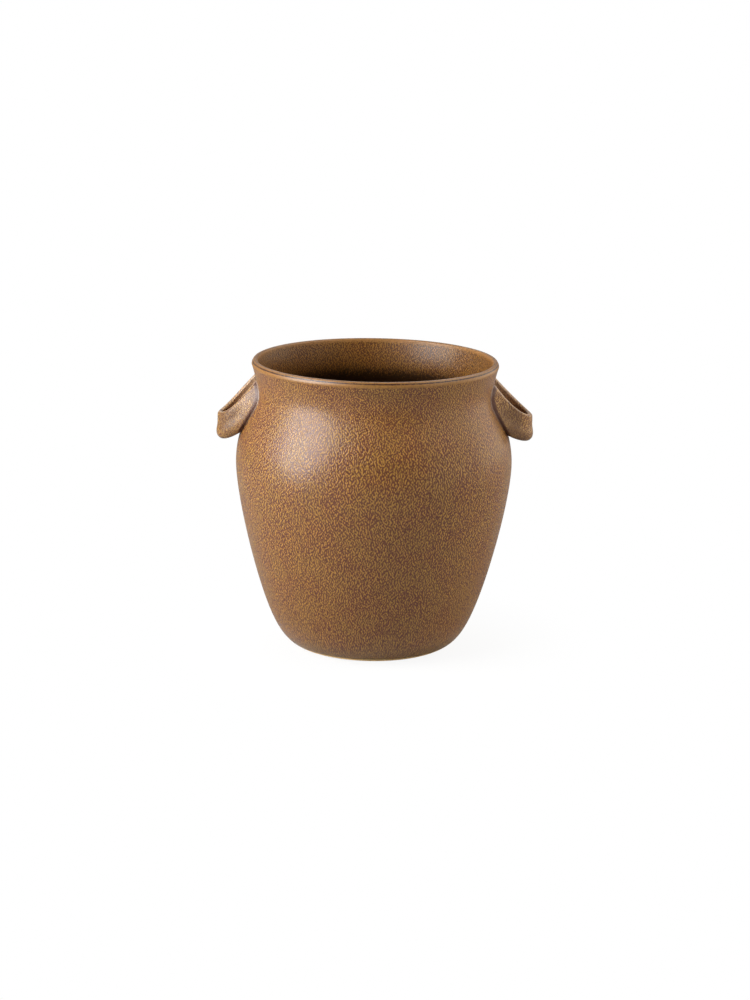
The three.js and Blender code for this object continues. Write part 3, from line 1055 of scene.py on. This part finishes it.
def unwrap_strap(mesh, stations, around):
    """Lays the strap's skin flat: along the strap across the sheet, round its section up it."""
    skin_top = 0.96
    hub_place = (0.5, 0.98)
    layer = mesh.uv_layers.new(name="OFBake")
    flat = np.zeros((len(mesh.loops), 2), np.float32)
    loop = 0
    for station in range(stations - 1):
        left = station / (stations - 1)
        right = (station + 1) / (stations - 1)
        for step in range(around):
            low = step / around
            high = (step + 1) / around
            flat[loop:loop + 4] = [(left, low), (right, low), (right, high), (left, high)]
            loop += 4
    flat[:, 1] *= skin_top
    flat[loop:] = hub_place
    layer.data.foreach_set("uv", flat.ravel())


def make_ear(name, turn, droop, reach):
    """One ear, turned to its side of the jar, and the lines of its two roots."""
    side = round(math.cos(turn))
    mesh, roots = ear_mesh(droop, -side, reach)
    mesh.name = name
    mesh.transform(Matrix.Rotation(turn, 4, "Z"))
    mesh.materials.append(EAR_GLAZE)
    return new_object(name, mesh), [line * (side, side, 1) for line in roots]


def thin_round_joints(mesh, roots):
    """Round each joint the body's glaze was wiped thin by the luting: a soft band beside the crease."""
    places = np.zeros(len(mesh.vertices) * 3, np.float32)
    mesh.vertices.foreach_get("co", places)
    places = places.reshape(-1, 3) / MM
    outside = read_mark(mesh, "inside") < 0.5
    thin = read_mark(mesh, "thin")
    for line in roots:
        low = line.min(0) - JOINT_SEARCH
        high = line.max(0) + JOINT_SEARCH
        near = np.nonzero(((places > low) & (places < high)).all(1) & outside)[0]
        gaps = np.linalg.norm(places[near][:, None, :] - line[None], axis=2).min(1)
        thin[near] = np.maximum(thin[near], JOINT_THIN * (1 - smooth(gaps, *JOINT_THIN_FADE)))
    mesh.attributes["thin"].data.foreach_set("value", thin)


# -------------------------------- floor, light and camera

def studio_floor():
    """A wide pale sheet that keeps the jar's shadow; to the camera it whitens away from the jar."""
    mesh = bpy.data.meshes.new("studio_floor")
    corners = [(x * FLOOR_REACH, y * FLOOR_REACH, 0) for x, y in ((-1, -1), (1, -1), (1, 1), (-1, 1))]
    mesh.from_pydata(corners, [], [(0, 1, 2, 3)])
    material = bpy.data.materials.new("pale_sheet")
    tree = cleared_tree(material)
    seen = add_node(tree, "ShaderNodeLightPath").outputs["Is Camera Ray"]
    place = add_node(tree, "ShaderNodeTexCoord").outputs["Object"]
    away = add_node(tree, "ShaderNodeVectorMath", {0: place}, operation="LENGTH").outputs["Value"]
    lighting = ramp(tree, away, *FLOOR_GREY_RINGS, FLOOR_GREY_UNDER_JAR, FLOOR_GREY_AWAY)
    grey = maths(tree, "MAXIMUM", maths(tree, "MULTIPLY", seen, FLOOR_GREY_SEEN), lighting)
    paper = add_node(tree, "ShaderNodeBsdfDiffuse", {"Color": grey})
    white = add_node(tree, "ShaderNodeEmission", {"Color": (1, 1, 1, 1), "Strength": 1.0})
    whitening = ramp(tree, away, *FLOOR_WHITE_RINGS, FLOOR_WHITE_UNDER_JAR, 1.0)
    mixed = add_node(tree, "ShaderNodeMixShader", {0: maths(tree, "MULTIPLY", seen, whitening),
                                                   1: paper.outputs[0], 2: white.outputs[0]})
    add_node(tree, "ShaderNodeOutputMaterial", {"Surface": mixed.outputs[0]})
    mesh.materials.append(material)
    return new_object("studio_floor", mesh)


def studio_world():
    """White for the camera; for the jar, pale walls, a dark front and a dim ceiling."""
    world = bpy.data.worlds.new("studio")
    bpy.context.scene.world = world
    tree = cleared_tree(world)
    rays = add_node(tree, "ShaderNodeLightPath").outputs
    way = parts(tree, add_node(tree, "ShaderNodeTexCoord").outputs["Generated"])
    walls = ramp(tree, maths(tree, "MULTIPLY", way["Y"], -1.0), *FRONT_FADE, WALL_GLOW, FRONT_GLOW)
    lit = maths(tree, "MULTIPLY", walls, ramp(tree, way["Z"], *CEILING_FADE, 1.0, CEILING_SHARE))
    white = maths(tree, "MAXIMUM", rays["Is Camera Ray"], rays["Is Transmission Ray"])
    strength = blend(tree, white, lit, 1.0, kind="FLOAT")
    background = add_node(tree, "ShaderNodeBackground", {"Color": (1, 1, 1, 1), "Strength": strength})
    add_node(tree, "ShaderNodeOutputWorld", {"Surface": background.outputs[0]})


def soft_box(name, azimuth, elevation, distance, width, height, power, warmth=0, gloss=True):
    """A flat lamp facing the jar; azimuth 0 is the camera's side and positive is to its right.

    Warmth takes some green and more blue out of its light. Without gloss it isn't seen in reflections.
    """
    across = math.radians(azimuth)
    up = math.radians(elevation)
    away = Vector((math.sin(across) * math.cos(up), -math.cos(across) * math.cos(up), math.sin(up)))
    data = bpy.data.lights.new(name, "AREA")
    data.shape = "ELLIPSE"
    data.size = width
    data.size_y = height
    data.energy = power
    data.color = (1, 1 - WARM_GREEN_LOSS * warmth, 1 - WARM_BLUE_LOSS * warmth)
    lamp = new_object(name, data)
    lamp.location = LAMP_TARGET + away * distance
    lamp.rotation_euler = away.to_track_quat("Z", "Y").to_euler()
    lamp.visible_camera = False
    lamp.visible_glossy = gloss


def photo_camera():
    data = bpy.data.cameras.new("camera")
    data.lens = CAMERA_LENS
    camera = new_object("camera", data)
    back = Vector((0, -math.cos(CAMERA_ELEVATION), math.sin(CAMERA_ELEVATION)))
    camera.location = ORBIT_CENTRE + back * CAMERA_DISTANCE
    gaze = camera.location - AIM_POINT
    turn = gaze.to_track_quat("Z", "Y").to_matrix().to_4x4() @ Matrix.Rotation(CAMERA_ROLL, 4, "Z")
    camera.rotation_euler = turn.to_euler()
    return camera


# -------------------------------- put together

body = turned_body()
right_ear, right_roots = make_ear("glazed_right_ear", 0.0, RIGHT_EAR_DROOP, EAR_TIP + RIGHT_EAR_EXTRA)
left_ear, left_roots = make_ear("glazed_left_ear", math.pi, LEFT_EAR_DROOP, EAR_TIP)
thin_round_joints(body.data, right_roots + left_roots)

for piece, node, slot in ((body, "jar_body", "body_glaze"), (right_ear, "right_ear", "ear_glaze"),
                          (left_ear, "left_ear", "ear_glaze")):
    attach(piece, "root")
    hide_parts(node)

studio_floor()
studio_world()
soft_box("key_soft_box", azimuth=-65.5, elevation=27, distance=1.6, width=1.25, height=2.0, power=54)
soft_box("low_right_sheet", azimuth=77, elevation=3, distance=1.8, width=2.6, height=0.9, power=27,
         gloss=False)
soft_box("high_right_soft_box", azimuth=88, elevation=50, distance=1.8, width=1.6, height=1.3, power=12,
         warmth=0.8)
soft_box("right_edge_sheet", azimuth=120, elevation=10, distance=1.8, width=1.6, height=1.8, power=9,
         warmth=1.2)
soft_box("back_soft_box", azimuth=180, elevation=50, distance=1.8, width=2.6, height=1.2, power=12)
bpy.context.scene.camera = photo_camera()
bpy.context.scene.view_settings.view_transform = "Standard"
